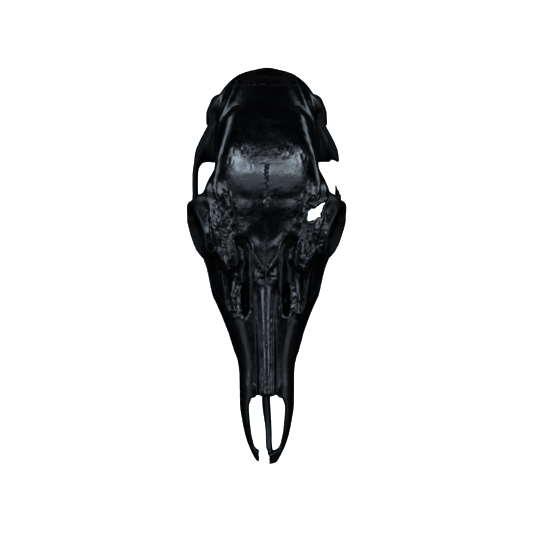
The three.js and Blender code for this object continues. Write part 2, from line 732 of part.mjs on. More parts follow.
// Teeth: each lobe is a tapering stub with a hollowed crown that stands highest on the cheek side
function toothLobe({ x, y, gum, crown, length, width }) {
  const height = gum + TOOTH_ROW.root - crown;
  const stub = new THREE.CylinderGeometry(0.44, 0.5, height, TOOTH_ROW.sides, 1).rotateX(Math.PI / 2);
  const position = stub.attributes.position;
  for (let i = 0; i < position.count; i++) {
    const [u, v, w] = [position.getX(i), position.getY(i), position.getZ(i)];
    const round = Math.hypot(u, v);
    const square = round > 0.1 ? round / (u ** 4 + v ** 4) ** 0.25 : 1;
    const wear = round > 0.1 ? TOOTH_ROW.wear * (0.5 - u) : TOOTH_ROW.pit;
    const level = crown + height / 2 + w + (w < 0 ? wear : 0);
    position.setXYZ(i, x + u * square * width, y + v * square * length, level);
  }
  return solidFromGeometry(stub);
}

// The row curves in toward the front, and the biting edge sinks to the floor under the last molar.
function toothRow(side) {
  const { lerp } = THREE.MathUtils;
  const rowLength = TEETH.reduce((sum, tooth) => sum + tooth.length, 0);
  const lobes = [];
  let start = 0;
  for (const { length, width, lobes: count } of TEETH) {
    for (let n = 0; n < count; n++) {
      const middle = start + (length * (n + 0.5)) / count;
      const along = middle / rowLength;
      const outward = Math.sin((along * Math.PI) / 2);
      lobes.push(
        toothLobe({
          x: lerp(TOOTH_ROW.frontX, TOOTH_ROW.backX, outward),
          y: TOOTH_ROW.front + middle,
          gum: lerp(TOOTH_ROW.gumFront, TOOTH_ROW.gumBack, along),
          crown: lerp(TOOTH_ROW.crownFront, TOOTH_ROW.crownBack, along),
          length: (length / count) * TOOTH_ROW.closeness,
          width,
        }),
      );
    }
    start += length;
  }
  const row = lobes.reduce((a, b) => a.add(b));
  return side < 0 ? row.mirror([1, 0, 0]) : row;
}

// Assembly

const net = thin(surfaceNet(skull, LOW, HIGH, CELL), TRIANGLES, Infinity);
const floorBox = new THREE.BoxGeometry(2 * REACH, 2 * REACH, REACH).translate(0, 0, REACH / 2);
const aboveFloor = solidFromGeometry(floorBox);
let rest = largest(solidOf(net).intersect(aboveFloor));
const bones = new Map();
for (const bone of BONES) {
  const sides = bone.paired ? [["left", false], ["right", true]] : [["", false]];
  for (const [side, mirrored] of sides) {
    const name = side ? `${bone.name}_${side}` : bone.name;
    bones.set(name, largest(rest.intersect(territory(bone, SUTURE / 2, mirrored))));
    rest = rest.subtract(territory(bone, -SUTURE / 2, mirrored));
  }
}
bones.set("sphenoid", largest(rest));
for (const [side, sign] of [["left", 1], ["right", -1]]) {
  const name = `maxilla_${side}`;
  bones.set(name, largest(bones.get(name).add(toothRow(sign)).intersect(aboveFloor)));
}

const group = new THREE.Group();
for (const [name, solid] of bones) {
  const { points, faces } = thin(meshOf(solid), 0, CUT_CLEANING);
  const geometry = new THREE.BufferGeometry();
  geometry.setAttribute("position", new THREE.Float32BufferAttribute(points.flat(), 3));
  geometry.setIndex(faces.flat());
  const paint = new THREE.MeshStandardMaterial({ color: 0x0b0c0e, roughness: 0.28, metalness: 0 });
  const mesh = new THREE.Mesh(geometry, paint);
  mesh.name = name;
  group.add(mesh);
}

// The origin lies on the floor under the middle of the skull.
const box = new THREE.Box3().setFromObject(group);
const middle = box.getCenter(new THREE.Vector3());
group.position.set(-middle.x, -middle.y, -box.min.z);

export default group;
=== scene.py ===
"""A doe's skull painted gloss black, seen from straight above on a pale floor.

The bones are one field of distances in millimetres, as in the solids, sampled on a fine grid with the
relief that the solids leave out. Each bone is meshed on its own inside its sutures.
"""

import math

import bpy
import numpy as np
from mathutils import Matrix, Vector


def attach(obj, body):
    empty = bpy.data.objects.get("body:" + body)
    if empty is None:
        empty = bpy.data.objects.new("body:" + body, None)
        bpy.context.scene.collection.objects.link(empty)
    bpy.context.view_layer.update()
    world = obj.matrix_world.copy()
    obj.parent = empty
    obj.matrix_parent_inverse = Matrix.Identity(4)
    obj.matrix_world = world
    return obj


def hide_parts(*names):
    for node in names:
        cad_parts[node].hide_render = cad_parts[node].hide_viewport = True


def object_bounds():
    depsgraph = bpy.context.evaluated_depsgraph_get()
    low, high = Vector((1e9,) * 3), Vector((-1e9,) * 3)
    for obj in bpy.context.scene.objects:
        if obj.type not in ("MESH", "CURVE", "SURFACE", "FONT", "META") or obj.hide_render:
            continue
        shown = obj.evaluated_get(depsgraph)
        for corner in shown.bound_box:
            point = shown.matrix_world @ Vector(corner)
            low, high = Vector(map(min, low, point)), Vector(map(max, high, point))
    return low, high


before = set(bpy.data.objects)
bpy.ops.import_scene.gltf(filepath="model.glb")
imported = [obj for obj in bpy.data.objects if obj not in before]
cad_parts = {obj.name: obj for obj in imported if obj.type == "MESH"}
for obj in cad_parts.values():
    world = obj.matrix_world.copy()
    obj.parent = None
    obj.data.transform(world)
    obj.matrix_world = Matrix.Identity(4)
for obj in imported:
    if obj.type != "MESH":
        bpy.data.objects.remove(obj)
cad_low, cad_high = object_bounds()

# Driving dimensions, in millimetres

CELL = 0.62  # grid step
LOW = (-58.0, -139.0, -3.0)  # corners of the sampled space
HIGH = (58.0, 136.0, 101.0)
SUTURE = 0.05  # gap between neighbouring bones
OPEN_SEAM = 0.5  # what the seam between the frontals adds to that gap
OPEN_SEAM_SPAN = (43, 66)  # where along Y it does
SMOOTHING = 1  # rounds of smoothing of each mesh
SMOOTHING_PULLS = (0.5, -0.4)  # in toward the neighbours and back out again
SETTLING = 3  # rounds in which points settle onto the surface
SETTLING_STEP = 0.6  # the farthest that a point moves in a round, in cells
EDGE_SHARPNESS = 0.2  # how much two faces must turn apart to count as an edge
FORM_MARGIN = 2  # how far past its box and blend a form is worked out
BEND_MARGIN = 1  # how far the midline may stray from X = 0

FACE = {
    "station": [-135, -128, -120, -112, -104, -95, -83, -67, -51, -35, -19, -3, 12, 26],
    "half_width": [6, 10, 13.4, 15.6, 17.1, 18.4, 18.6, 19.2, 23.5, 29.4, 35.8, 38.6, 38, 33],
    "widest_at": [29.5, 30, 31, 33, 34.5, 36, 39, 38.5, 36.5, 35, 35, 37.5, 41, 42],
    "top": [34, 38, 42, 46.5, 50.5, 54, 58, 61, 64.4, 68.2, 72.2, 75.5, 77, 76],
    "bottom": [26.8, 26, 25.5, 25.5, 25.7, 26, 26, 25.4, 23, 20, 17, 14.6, 13.5, 14],
}
CRANIUM = {
    "station": [-14, 2, 14, 28, 42, 54, 64, 80, 96, 110, 122, 130],
    "half_width": [10, 22, 30, 35, 35.5, 33.6, 32.2, 34.8, 32.6, 29, 23.5, 15],
    "widest_at": [66, 70, 74, 77, 76, 70, 63, 58, 53, 48, 45, 43],
    "top": [75.5, 80.8, 83.4, 89.2, 95.2, 96.5, 95.4, 90.8, 84.8, 77, 69, 62],
    "bottom": [52, 50, 44, 38, 34, 32, 30, 27.5, 25, 23.5, 22, 24],
}
NASALS = {
    "station": [-86, -60, -30, -14, -2],
    "half_width": [6, 6.2, 7, 8, 4],
    "widest_at": [57, 61, 67, 70.5, 74],
    "top": [62.5, 66.5, 72.5, 76.5, 79.5],
    "bottom": [53, 57, 63, 66, 69],
}
CAVITY = {
    "station": [-96, -84, -50, -20, -8],
    "half_width": [11.5, 11.5, 12, 10, 5],
    "widest_at": [42, 43, 44, 47, 50],
    "top": [57, 58, 60, 62, 58],
    "bottom": [29, 31, 31, 36, 44],
}
APERTURE = {"station": [-127, -124, -118, -109, -94, -88], "half_width": [2.4, 7.4, 9.7, 11.2, 12, 10]}
SNOUT_BEND = {"station": [-135, -100, -66, -25, 10, 40], "shift": [0.2, 0.2, 0, -0.7, -0.4, 0]}

ORBIT_CENTRE = np.array([42.1, 24.2, 61])
ORBIT_FACING = np.array([0.9, -0.28, 0.27])
ORBIT_RADIUS = 18
RIM_THICKNESS = 2.5
RIM_DEPTH = 4.2
ORBIT_CAVITY_RADIUS = 17
ORBIT_CAVITY_DEPTH = 28
ORBIT_OPEN_REACH = 60  # how far the hollow runs on outward
ORBIT_MARGIN = 6


# The sampled space

AXES = [np.arange(low, high + CELL, CELL, dtype=np.float32) for low, high in zip(LOW, HIGH)]
SHAPE = tuple(len(axis) for axis in AXES)


def hermite(stations, values):
    """A smooth curve through values at stations."""
    stations, values = np.asarray(stations, float), np.asarray(values, float)
    last = len(stations) - 1
    before = np.maximum(np.arange(last + 1) - 1, 0)
    after = np.minimum(np.arange(last + 1) + 1, last)
    slopes = (values[after] - values[before]) / (stations[after] - stations[before])

    def at(where):
        where = np.clip(where, stations[0], stations[-1])
        i = np.clip(np.searchsorted(stations, where, "right") - 1, 0, last - 1)
        span = stations[i + 1] - stations[i]
        t = (where - stations[i]) / span
        t2, t3 = t * t, t * t * t
        start = (2 * t3 - 3 * t2 + 1) * values[i] + (t3 - 2 * t2 + t) * span * slopes[i]
        end = (3 * t2 - 2 * t3) * values[i + 1] + (t3 - t2) * span * slopes[i + 1]
        return (start + end).astype(np.float32)

    return at


def smooth_min(a, b, k):
    overlap = np.maximum(k - np.abs(a - b), 0) / k
    return np.minimum(a, b) - overlap * overlap * (k / 4)


def smooth_max(a, b, k):
    return -smooth_min(-a, -b, k)


LEAN = hermite(SNOUT_BEND["station"], SNOUT_BEND["shift"])(AXES[1])


def window(low, high):
    """The slices of the grid that hold a box."""
    slices = []
    for axis, a, b in zip(AXES, low, high):
        first = int(np.searchsorted(axis, a))
        slices.append(slice(first, max(int(np.searchsorted(axis, b, "right")), first)))
    return tuple(slices)


def coordinates(part):
    """X from the skull's own midline, Y and Z of the grid points in a window."""
    x = AXES[0][part[0]][:, None, None] - LEAN[part[1]][None, :, None]
    y = AXES[1][part[1]][None, :, None]
    z = AXES[2][part[2]][None, None, :]
    return x, y, z


# Forms: each has a box and gives about how far points lie outside it


def loft(form, upper_power, lower_power, rounding):
    """A form along Y whose section is two half superellipses, joined at its widest level."""
    columns = [hermite(form["station"], form[c]) for c in ("half_width", "widest_at", "top", "bottom")]
    front, back = form["station"][0], form["station"][-1]

    def field(x, y, z):
        w, middle, top, bottom = (column(y) for column in columns)
        above = z > middle
        h = np.where(above, top - middle, middle - bottom)
        across, up = np.abs(x) / w, np.abs(z - middle) / h
        upper = (across**upper_power + up**upper_power) ** (1 / upper_power)
        lower = (across**lower_power + up**lower_power) ** (1 / lower_power)
        share = np.where(above, upper, lower)
        ends = np.maximum(front - y, y - back)
        return smooth_max((share - 1) * np.minimum(w, h), ends, rounding).astype(np.float32)

    width = max(form["half_width"])
    return field, (-width, front, min(form["bottom"])), (width, back, max(form["top"]))


def ellipsoid(centre, radii):
    def field(x, y, z):
        a, b, c = x - centre[0], y - centre[1], z - centre[2]
        scaled = np.sqrt((a / radii[0]) ** 2 + (b / radii[1]) ** 2 + (c / radii[2]) ** 2)
        steep = np.sqrt((a / radii[0] ** 2) ** 2 + (b / radii[1] ** 2) ** 2 + (c / radii[2] ** 2) ** 2)
        return (scaled * (scaled - 1) / np.maximum(steep, 1e-6)).astype(np.float32)

    return field, np.subtract(centre, radii), np.add(centre, radii)


def rod(points, pieces=4):
    """A rod along a smooth curve through points, each (x, y, z, half width in X, in Y and in Z)."""
    points = np.asarray(points, float)
    knots = np.arange(len(points))
    steps = np.linspace(0, len(points) - 1, (len(points) - 1) * pieces + 1)
    path = np.stack([hermite(knots, column)(steps) for column in points.T], axis=1)
    reach = path[:, 3:].max(axis=1)[:, None]

    def field(x, y, z):
        nearest = np.full(np.broadcast_shapes(x.shape, y.shape, z.shape), 1e3, np.float32)
        for a, b in zip(path[:-1], path[1:]):
            d = b[:3] - a[:3]
            along = ((x - a[0]) * d[0] + (y - a[1]) * d[1] + (z - a[2]) * d[2]) / (d @ d)
            t = np.clip(along, 0, 1)
            parts = []
            for i, v in enumerate((x, y, z)):
                half_width = a[3 + i] + t * (b[3 + i] - a[3 + i])
                parts.append((v - a[i] - t * d[i]) / half_width)
            scaled = np.sqrt(parts[0] ** 2 + parts[1] ** 2 + parts[2] ** 2)
            thinnest = min(a[3:].min(), b[3:].min())
            np.minimum(nearest, (scaled - 1) * thinnest, out=nearest)
        return nearest

    return field, (path[:, :3] - reach).min(axis=0), (path[:, :3] + reach).max(axis=0)


def outline_distance(corners, x, y):
    """How far points of a plane lie outside a closed outline."""
    nearest = np.full(np.broadcast_shapes(x.shape, y.shape), 1e6, np.float32)
    inside = np.zeros(nearest.shape, bool)
    for (ax, ay), (bx, by) in zip(corners, corners[1:] + corners[:1]):
        ex, ey = bx - ax, by - ay
        t = np.clip(((x - ax) * ex + (y - ay) * ey) / (ex * ex + ey * ey), 0, 1)
        nearest = np.minimum(nearest, np.hypot(x - ax - t * ex, y - ay - t * ey))
        if ay != by:
            inside ^= ((ay > y) != (by > y)) & (x < ax + ex * (y - ay) / ey)
    return np.where(inside, -nearest, nearest).astype(np.float32)


def orbit_axes():
    out = ORBIT_FACING / np.linalg.norm(ORBIT_FACING)
    back = np.array([0, 1, 0]) - out[1] * out
    back /= np.linalg.norm(back)
    return back, np.cross(out, back), out


def orbit_form(kind):
    """The ring of the orbit, or the hollow inside it."""
    back, up, out = orbit_axes()
    reach = ORBIT_RADIUS + ORBIT_MARGIN
    inner = ORBIT_CENTRE - reach - out * ORBIT_CAVITY_DEPTH / 2

    def field(x, y, z):
        offset = [x - ORBIT_CENTRE[0], y - ORBIT_CENTRE[1], z - ORBIT_CENTRE[2]]
        b, u, o = (sum(v * axis[i] for i, v in enumerate(offset)) for axis in (back, up, out))
        spread = np.sqrt(b * b + u * u)
        if kind == "rim":
            ring = np.sqrt(((spread - ORBIT_RADIUS) / RIM_THICKNESS) ** 2 + (o / RIM_DEPTH) ** 2)
            return ((ring - 1) * RIM_THICKNESS).astype(np.float32)
        deep = np.where(o > 0, ORBIT_OPEN_REACH, ORBIT_CAVITY_DEPTH)
        hollow = np.sqrt((spread / ORBIT_CAVITY_RADIUS) ** 2 + (o / deep) ** 2)
        return ((hollow - 1) * ORBIT_CAVITY_RADIUS).astype(np.float32)

    return field, np.minimum(inner, ORBIT_CENTRE - reach), ORBIT_CENTRE + reach


class Skull:
    """The field of the whole skull, built up form by form."""

    def __init__(self):
        self.field = np.full(SHAPE, 1e3, np.float32)

    def change(self, form, k, combine, paired=True):
        field, low, high = form
        margin = k + FORM_MARGIN
        for sign in (1, -1) if paired else (1,):
            x_low, x_high = sorted((sign * (low[0] - margin), sign * (high[0] + margin)))
            if paired and sign > 0:
                x_low = max(x_low, -CELL)
            elif paired:
                x_high = min(x_high, CELL)
            part = window(
                (x_low - BEND_MARGIN, low[1] - margin, low[2] - margin),
                (x_high + BEND_MARGIN, high[1] + margin, high[2] + margin),
            )
            x, y, z = coordinates(part)
            d = field(np.abs(x) if paired else x, y, z)
            if paired:
                own = (x >= 0) if sign > 0 else (x < 0)
                self.field[part] = np.where(own, combine(self.field[part], d, k), self.field[part])
            else:
                self.field[part] = combine(self.field[part], d, k)

    def join(self, form, k, paired=True):
        self.change(form, k, smooth_min, paired)

    def carve(self, form, k, paired=True):
        self.change(form, k, lambda a, d, blend: smooth_max(a, -d, blend), paired)


# Bony struts and knobs of one side; the other side is their mirror image

TOOTH_RIDGE = rod([
    (16.8, -54, 29, 4, 5, 9),
    (21.8, -27, 25, 5.4, 6, 10),
    (25, 0, 22.5, 6, 6, 10.5),
    (25.5, 20, 23, 5.6, 5, 10),
])
JUGAL = rod([
    (31.5, -16, 37, 3.5, 5, 7),
    (35.4, 0, 40, 3.4, 4, 7.5),
    (42.6, 14, 42, 3.4, 4, 6.5),
    (48.4, 30, 44.5, 2.8, 3, 5),
])
ORBITAL_PLATE = rod([
    (32, 0, 38, 5, 6, 7),
    (35.5, 14, 37, 7.6, 6, 7),
    (40.6, 28, 40, 7, 5, 4.5),
    (42.8, 38, 42, 5, 4, 3.4),
])
ARCH_ROOT = rod([(30, 79, 44, 6, 9, 4.4), (38, 78, 44.6, 5, 8, 4), (44.6, 75.6, 44.8, 2.6, 5, 3.6)])
ARCH = rod([
    (48.6, 32, 45, 2.4, 3, 5),
    (47.9, 46, 45.6, 2.1, 3, 4.8),
    (48, 57, 45.6, 2, 3, 4.5),
    (47.4, 67, 45, 2.1, 3, 4.2),
    (44, 77, 44.8, 2.8, 3, 4),
    (39.4, 86, 45, 4.4, 4, 4.2),
    (35.4, 96, 44.5, 3.8, 4, 4),
    (36.6, 104, 41.5, 3.2, 3.4, 4.4),
])
ORBIT_SHELF = rod([
    (36, 10, 46, 5, 6, 3),
    (41, 23, 45.6, 5.2, 6, 2.6),
    (42.6, 32, 46.4, 4.8, 5, 2.4),
    (45, 38, 47, 2.4, 3, 2.4),
])
POSTORBITAL = rod([
    (22, 53, 87, 9, 7, 5),
    (33, 51.5, 81, 6, 6, 4.2),
    (41.4, 45.4, 74.5, 4.2, 3.6, 4),
    (47.2, 42.2, 66, 3, 2.6, 5),
    (49, 40.2, 56, 2.5, 2.6, 6),
    (48.8, 38, 47, 2.4, 4, 4),
], pieces=12)
FRONTAL_PAD = rod([
    (21, 48, 89.4, 11.5, 9, 4.6),
    (21, 62, 89, 11.5, 9, 4.6),
    (20.5, 74, 87, 9.6, 9, 4.4),
    (19.5, 88, 80.4, 6.5, 9, 3.6),
], pieces=12)
BROW = rod([
    (22, 4, 76.5, 4, 5, 3),
    (25.5, 15, 80.6, 5, 6, 3.4),
    (28.5, 28, 83, 5.6, 7, 3.6),
    (31, 41, 82, 6, 6, 3.4),
    (40.5, 43.6, 74, 4, 3.4, 4),
], pieces=12)
BROW_EDGE = rod([
    (27, 8, 73, 4, 5, 3),
    (34, 18, 74, 4.6, 6, 2.6),
    (37.5, 30, 74, 4.6, 6, 2.6),
    (38.6, 40, 74, 5, 4.4, 3),
    (44, 42.5, 70, 3.4, 3, 4),
], pieces=12)
NUCHAL_CREST = rod([
    (0, 128.4, 61, 3.4, 2.4, 2.8),
    (9, 126.4, 60.4, 4, 2.3, 2.4),
    (17, 124.4, 58, 3, 2.3, 2.4),
    (25.4, 118.6, 53.5, 2.6, 2.3, 2.8),
    (32.4, 109.6, 48, 2.6, 2.3, 3.4),
    (37, 105, 42, 2.2, 2.4, 4),
], pieces=12)
TEMPORAL_LINE = rod([
    (35.5, 50, 84, 2.4, 2.4, 2),
    (31.4, 62, 81, 1.8, 2, 1.8),
    (31.6, 75, 74.5, 1.6, 2, 2),
    (30.6, 91, 71, 1.6, 2, 2),
    (25.2, 104, 71.4, 1.6, 2, 1.7),
    (18.6, 121, 63.4, 1.8, 2, 2),
], pieces=12)
EAR_TUBE = rod([(27, 94, 33, 6, 5, 5), (35, 97.5, 35.5, 4.2, 4.4, 4.4), (38.6, 99, 37.5, 3.2, 4, 4)])
EAR_HOLE = ellipsoid((41, 99.2, 38), (5, 1.9, 1.9))
BULLA = ellipsoid((20.5, 89, 23.5), (7.6, 12.5, 9))
CONDYLE = ellipsoid((12.4, 118.5, 25.5), (8.6, 10.5, 10.5))
PAROCCIPITAL = rod([
    (31, 110, 42, 7, 6.4, 8),
    (30, 110.5, 29, 6, 6.4, 7),
    (28.8, 109.5, 14, 4.4, 5.4, 6),
    (28, 107.5, -3, 3, 3.6, 5),
])
PTERYGOID = rod([
    (13.5, 16, 30, 2.4, 4, 12),
    (12.5, 34, 32, 2, 4, 13),
    (11, 50, 33, 1.8, 4, 11),
    (9.6, 60, 31, 2.4, 4, 6),
])
LACRIMAL_RIDGE = rod([
    (25, -24, 62, 2, 4, 2),
    (27, -8, 68.5, 2.2, 4, 2.2),
    (28.5, 5, 75.5, 2.6, 4, 2.6),
], pieces=12)

# Hollows and holes of one side

TEMPORAL_FOSSA = ellipsoid((44, 61, 64), (13.5, 18.5, 20))
ORBIT_FLOOR = ellipsoid((37, 42, 33), (21, 17, 23))
LACRIMAL_PIT = rod([
    (16.5, 9, 86, 4.6, 6, 8),
    (18.4, -8, 79, 6, 6, 9),
    (20.5, -25, 72.6, 4.6, 6, 6),
], pieces=12)
VACUITY = ellipsoid((13.4, -21, 62), (2.8, 12, 14))
INFRAORBITAL = ellipsoid((22.5, -43, 36), (4, 5, 2.6))
CHOANA = ellipsoid((0, 36, 28), (8.5, 27, 15))
PALATE_VAULT = ellipsoid((0, -25, 12), (14, 62, 12))
NAPE_HOLLOW = ellipsoid((15, 137, 46), (15, 12, 10))
FORAMEN_MAGNUM = ellipsoid((0, 128, 34), (10, 24, 9))

MEDIAN_BAR = rod([
    (-0.8, -78, 31, 2.6, 3, 4),
    (-0.4, -95, 30, 2.9, 3, 3.6),
    (1, -110, 29.6, 2.3, 3, 3),
    (1.6, -124, 29.5, 2.2, 3, 2.8),
    (4.5, -131.5, 29.5, 2.6, 2.6, 2.8),
])


# The forms with the widths over which they blend, in the order in which they are joined or carved

MASSES = [
    (TOOTH_RIDGE, 5),
    (ORBITAL_PLATE, 5),
    (BULLA, 4),
    (CONDYLE, 4),
    (EAR_TUBE, 4),
    (POSTORBITAL, 6),
    (LACRIMAL_RIDGE, 5),
    (FRONTAL_PAD, 5),
]
HOLLOWS = [
    (LACRIMAL_PIT, 6),
    (ORBIT_FLOOR, 4),
    (TEMPORAL_FOSSA, 6),
    (orbit_form("hollow"), 3),
    (CHOANA, 3),
    (PALATE_VAULT, 4),
    (NAPE_HOLLOW, 5),
]
STRUTS = [
    (NUCHAL_CREST, 5),
    (TEMPORAL_LINE, 5),
    (orbit_form("rim"), 3),
    (JUGAL, 4),
    (ORBIT_SHELF, 3),
    (BROW, 5),
    (BROW_EDGE, 4),
    (ARCH, 3),
    (ARCH_ROOT, 4),
    (PAROCCIPITAL, 4),
    (PTERYGOID, 3),
]


def aperture_form():
    """The opening of the nose, cut straight down."""
    half_width = hermite(APERTURE["station"], APERTURE["half_width"])
    front, back = APERTURE["station"][0], APERTURE["station"][-1]
    widest = max(APERTURE["half_width"])

    def field(x, y, z):
        return np.maximum(np.abs(x) - half_width(y), np.maximum(y - back, front - y)) + 0 * z

    return field, (-widest, front, LOW[2]), (widest, back, HIGH[2])


def build_skull():
    skull = Skull()
    skull.join(loft(FACE, 2.2, 2.6, 4), 1, paired=False)
    skull.join(loft(CRANIUM, 2.9, 1.9, 7), 8, paired=False)
    for form, k in MASSES:
        skull.join(form, k)
    for form, k in HOLLOWS:
        skull.carve(form, k)
    for form, k in STRUTS:
        skull.join(form, k)
    skull.join(loft(NASALS, 2.2, 2, 3), 1.5, paired=False)
    skull.carve(loft(CAVITY, 2, 2, 8), 2, paired=False)
    skull.carve(VACUITY, 2)
    skull.carve(aperture_form(), 2, paired=False)
    skull.carve(FORAMEN_MAGNUM, 2)
    skull.carve(INFRAORBITAL, 1.5)
    skull.carve(EAR_HOLE, 1)
    skull.join(MEDIAN_BAR, 1.5, paired=False)
    return skull


# Meshing: one vertex in each cell that the surface crosses, and a quad across each crossed edge

CORNERS = np.array([(c & 1, (c >> 1) & 1, c >> 2) for c in range(8)])
CELL_EDGES = [(m, m | bit) for m in range(8) for bit in (1, 2, 4) if not m & bit]


def surface_net(values, low):
    """The points and quads of the surface where values change sign."""
    inside = values < 0
    nx, ny, nz = np.array(inside.shape) - 1
    counts = sum(inside[a : a + nx, b : b + ny, c : c + nz].astype(np.int8) for a, b, c in CORNERS)
    cells = np.argwhere((counts > 0) & (counts < 8))
    if not len(cells):
        return np.zeros((0, 3)), np.zeros((0, 4), int)
    at = [values[tuple((cells + corner).T)] for corner in CORNERS]
    total = np.zeros((len(cells), 3), np.float64)
    crossings = np.zeros(len(cells))
    for m, n in CELL_EDGES:
        crossed = (at[m] < 0) != (at[n] < 0)
        t = np.where(crossed, at[m] / np.where(crossed, at[m] - at[n], 1), 0)
        total += crossed[:, None] * (CORNERS[m] + t[:, None] * (CORNERS[n] - CORNERS[m]))
        crossings += crossed
    points = np.asarray(low) + CELL * (cells + total / crossings[:, None])
    number = np.full(counts.shape, -1, np.int64)
    number[tuple(cells.T)] = np.arange(len(cells))

    quads = []
    for axis in range(3):
        step = np.eye(3, dtype=int)[axis]
        u, v = np.eye(3, dtype=int)[(axis + 1) % 3], np.eye(3, dtype=int)[(axis + 2) % 3]
        size = np.array(inside.shape)
        first = inside[: size[0] - step[0], : size[1] - step[1], : size[2] - step[2]]
        second = inside[step[0] :, step[1] :, step[2] :]
        edges = np.argwhere(first != second)
        keep = np.all((edges >= u + v) & (edges < size - 1), axis=1)
        edges = edges[keep]
        quad = np.stack([number[tuple((edges - d).T)] for d in (0 * u, u, u + v, v)], axis=1)
        backward = ~inside[tuple(edges.T)]
        quad[backward] = quad[backward][:, ::-1]
        quads.append(quad)
    return points, np.concatenate(quads)


# Relief: what a finger would feel on the bone


def noise(scale, seed):
    """Smooth random values over the grid, with one rise or fall in each scale, which may differ by axis."""
    scales = np.broadcast_to(scale, 3)
    sizes = [int((high - low) / step) + 3 for low, high, step in zip(LOW, HIGH, scales)]
    values = np.random.default_rng(seed).standard_normal(sizes).astype(np.float32)
    for axis, (points, step) in enumerate(zip(AXES, scales)):
        place = (points - LOW[axis]) / step
        i = place.astype(int)
        t = place - i
        t = t * t * (3 - 2 * t)
        weights = np.zeros((len(points), sizes[axis]), np.float32)
        weights[np.arange(len(points)), i] = 1 - t
        weights[np.arange(len(points)), i + 1] = t
        values = np.moveaxis(np.tensordot(weights, values, axes=(1, axis)), 0, axis)
    return values


def spot(x, y, centre, radii):
    """1 at a place of the plan and on its mirror image, fading to 0 round it."""
    return np.exp(-(((np.abs(x) - centre[0]) / radii[0]) ** 2) - ((y - centre[1]) / radii[1]) ** 2)


def line_distance(x, y, points):
    """How far points of the plan lie from a chain of points."""
    nearest = np.full(np.broadcast_shapes(x.shape, y.shape), 1e3, np.float32)
    for (ax, ay), (bx, by) in zip(points[:-1], points[1:]):
        ex, ey = bx - ax, by - ay
        t = np.clip(((x - ax) * ex + (y - ay) * ey) / (ex * ex + ey * ey), 0, 1)
        nearest = np.minimum(nearest, np.hypot(x - ax - t * ex, y - ay - t * ey))
    return nearest


def saw(phase):
    """A zigzag between -1 and 1."""
    return 2 * np.abs(2 * (phase - np.floor(phase + 0.5))) - 1


def suture_lines():
    """X and Y over the plan, bent so that straight cuts follow wandering sutures."""
    x, y = AXES[0][:, None], AXES[1][None, :]
    waver = 0.18 * np.sin(y / 2.9 + 0.7 * np.sin(x / 3.1)) + 0.12 * np.sin(y / 1.3 + x / 4)
    brow = np.clip((y - 4) / 8, 0, 1) * np.clip((76 - y) / 6, 0, 1)
    teeth_x = 0.7 * saw(y / 3.1 + 0.3 * np.sin(y / 5)) * brow
    drift = 0.3 * np.sin(x / 2.3) + 0.2 * np.sin(x / 1.1 + y / 3)
    crown = np.clip((y - 50) / 10, 0, 1) * np.clip((95 - y) / 10, 0, 1)
    teeth_y = 1.1 * saw(x / 3.4 + 0.25 * np.sin(x / 4)) * crown
    return x - LEAN[None, :] + waver + teeth_x, y + drift + teeth_y


# Lines of the plan on one side, with the height of the crest or the depth of the groove along them
BROW_GROOVE = [(24.5, 46), (22.6, 36), (21, 27), (19.4, 20), (18, 13)]
BROW_GROOVE_DEPTH = 0.9
BROW_FORAMINA = [(20.6, 25, 1.5), (19.2, 17.5, 1.1), (22.4, 33, 0.9)]  # X, Y and radius
BROW_FORAMEN_DEPTH = 1.6
NASION_ARM = [(13, 22), (8, 12), (3.4, 3), (0.8, -2)]
NASION_ARM_WIDTH = 3.8
FACE_RIDGE = [(31, 9.5), (28, 5), (25.4, -1), (24.8, -8), (25.6, -17), (24, -26), (22.6, -34)]
FACE_RIDGE_HEIGHT = 1.4
FACE_RIDGE_WIDTH = 2.1
SEAM_DEPTH = 0.7
SEAM_WIDTH = 0.6

# Places of the plan: middle and reach
ROUGH_PLACES = [  # with the share of full roughness
    (1, (29, 29), (8, 17)),
    (0.8, (0, -5), (6, 9)),
    (0.4, (30, 5), (8, 10)),
    (0.5, (0, 126), (30, 7)),
    (0.6, (38, 96), (6, 16)),
]
FIBROUS_PLACE = (17, 73), (17, 8)
SPONGY_PLACE = (16.5, -26), (6.5, 9)
BROW_FALL = (26, 42), (10, 10)
FRONTAL_DOME = (17, 64), (12, 14)
UPPER_SKIN = 62  # the lowest level of the relief on top of the skull
FACE_SKIN = 52


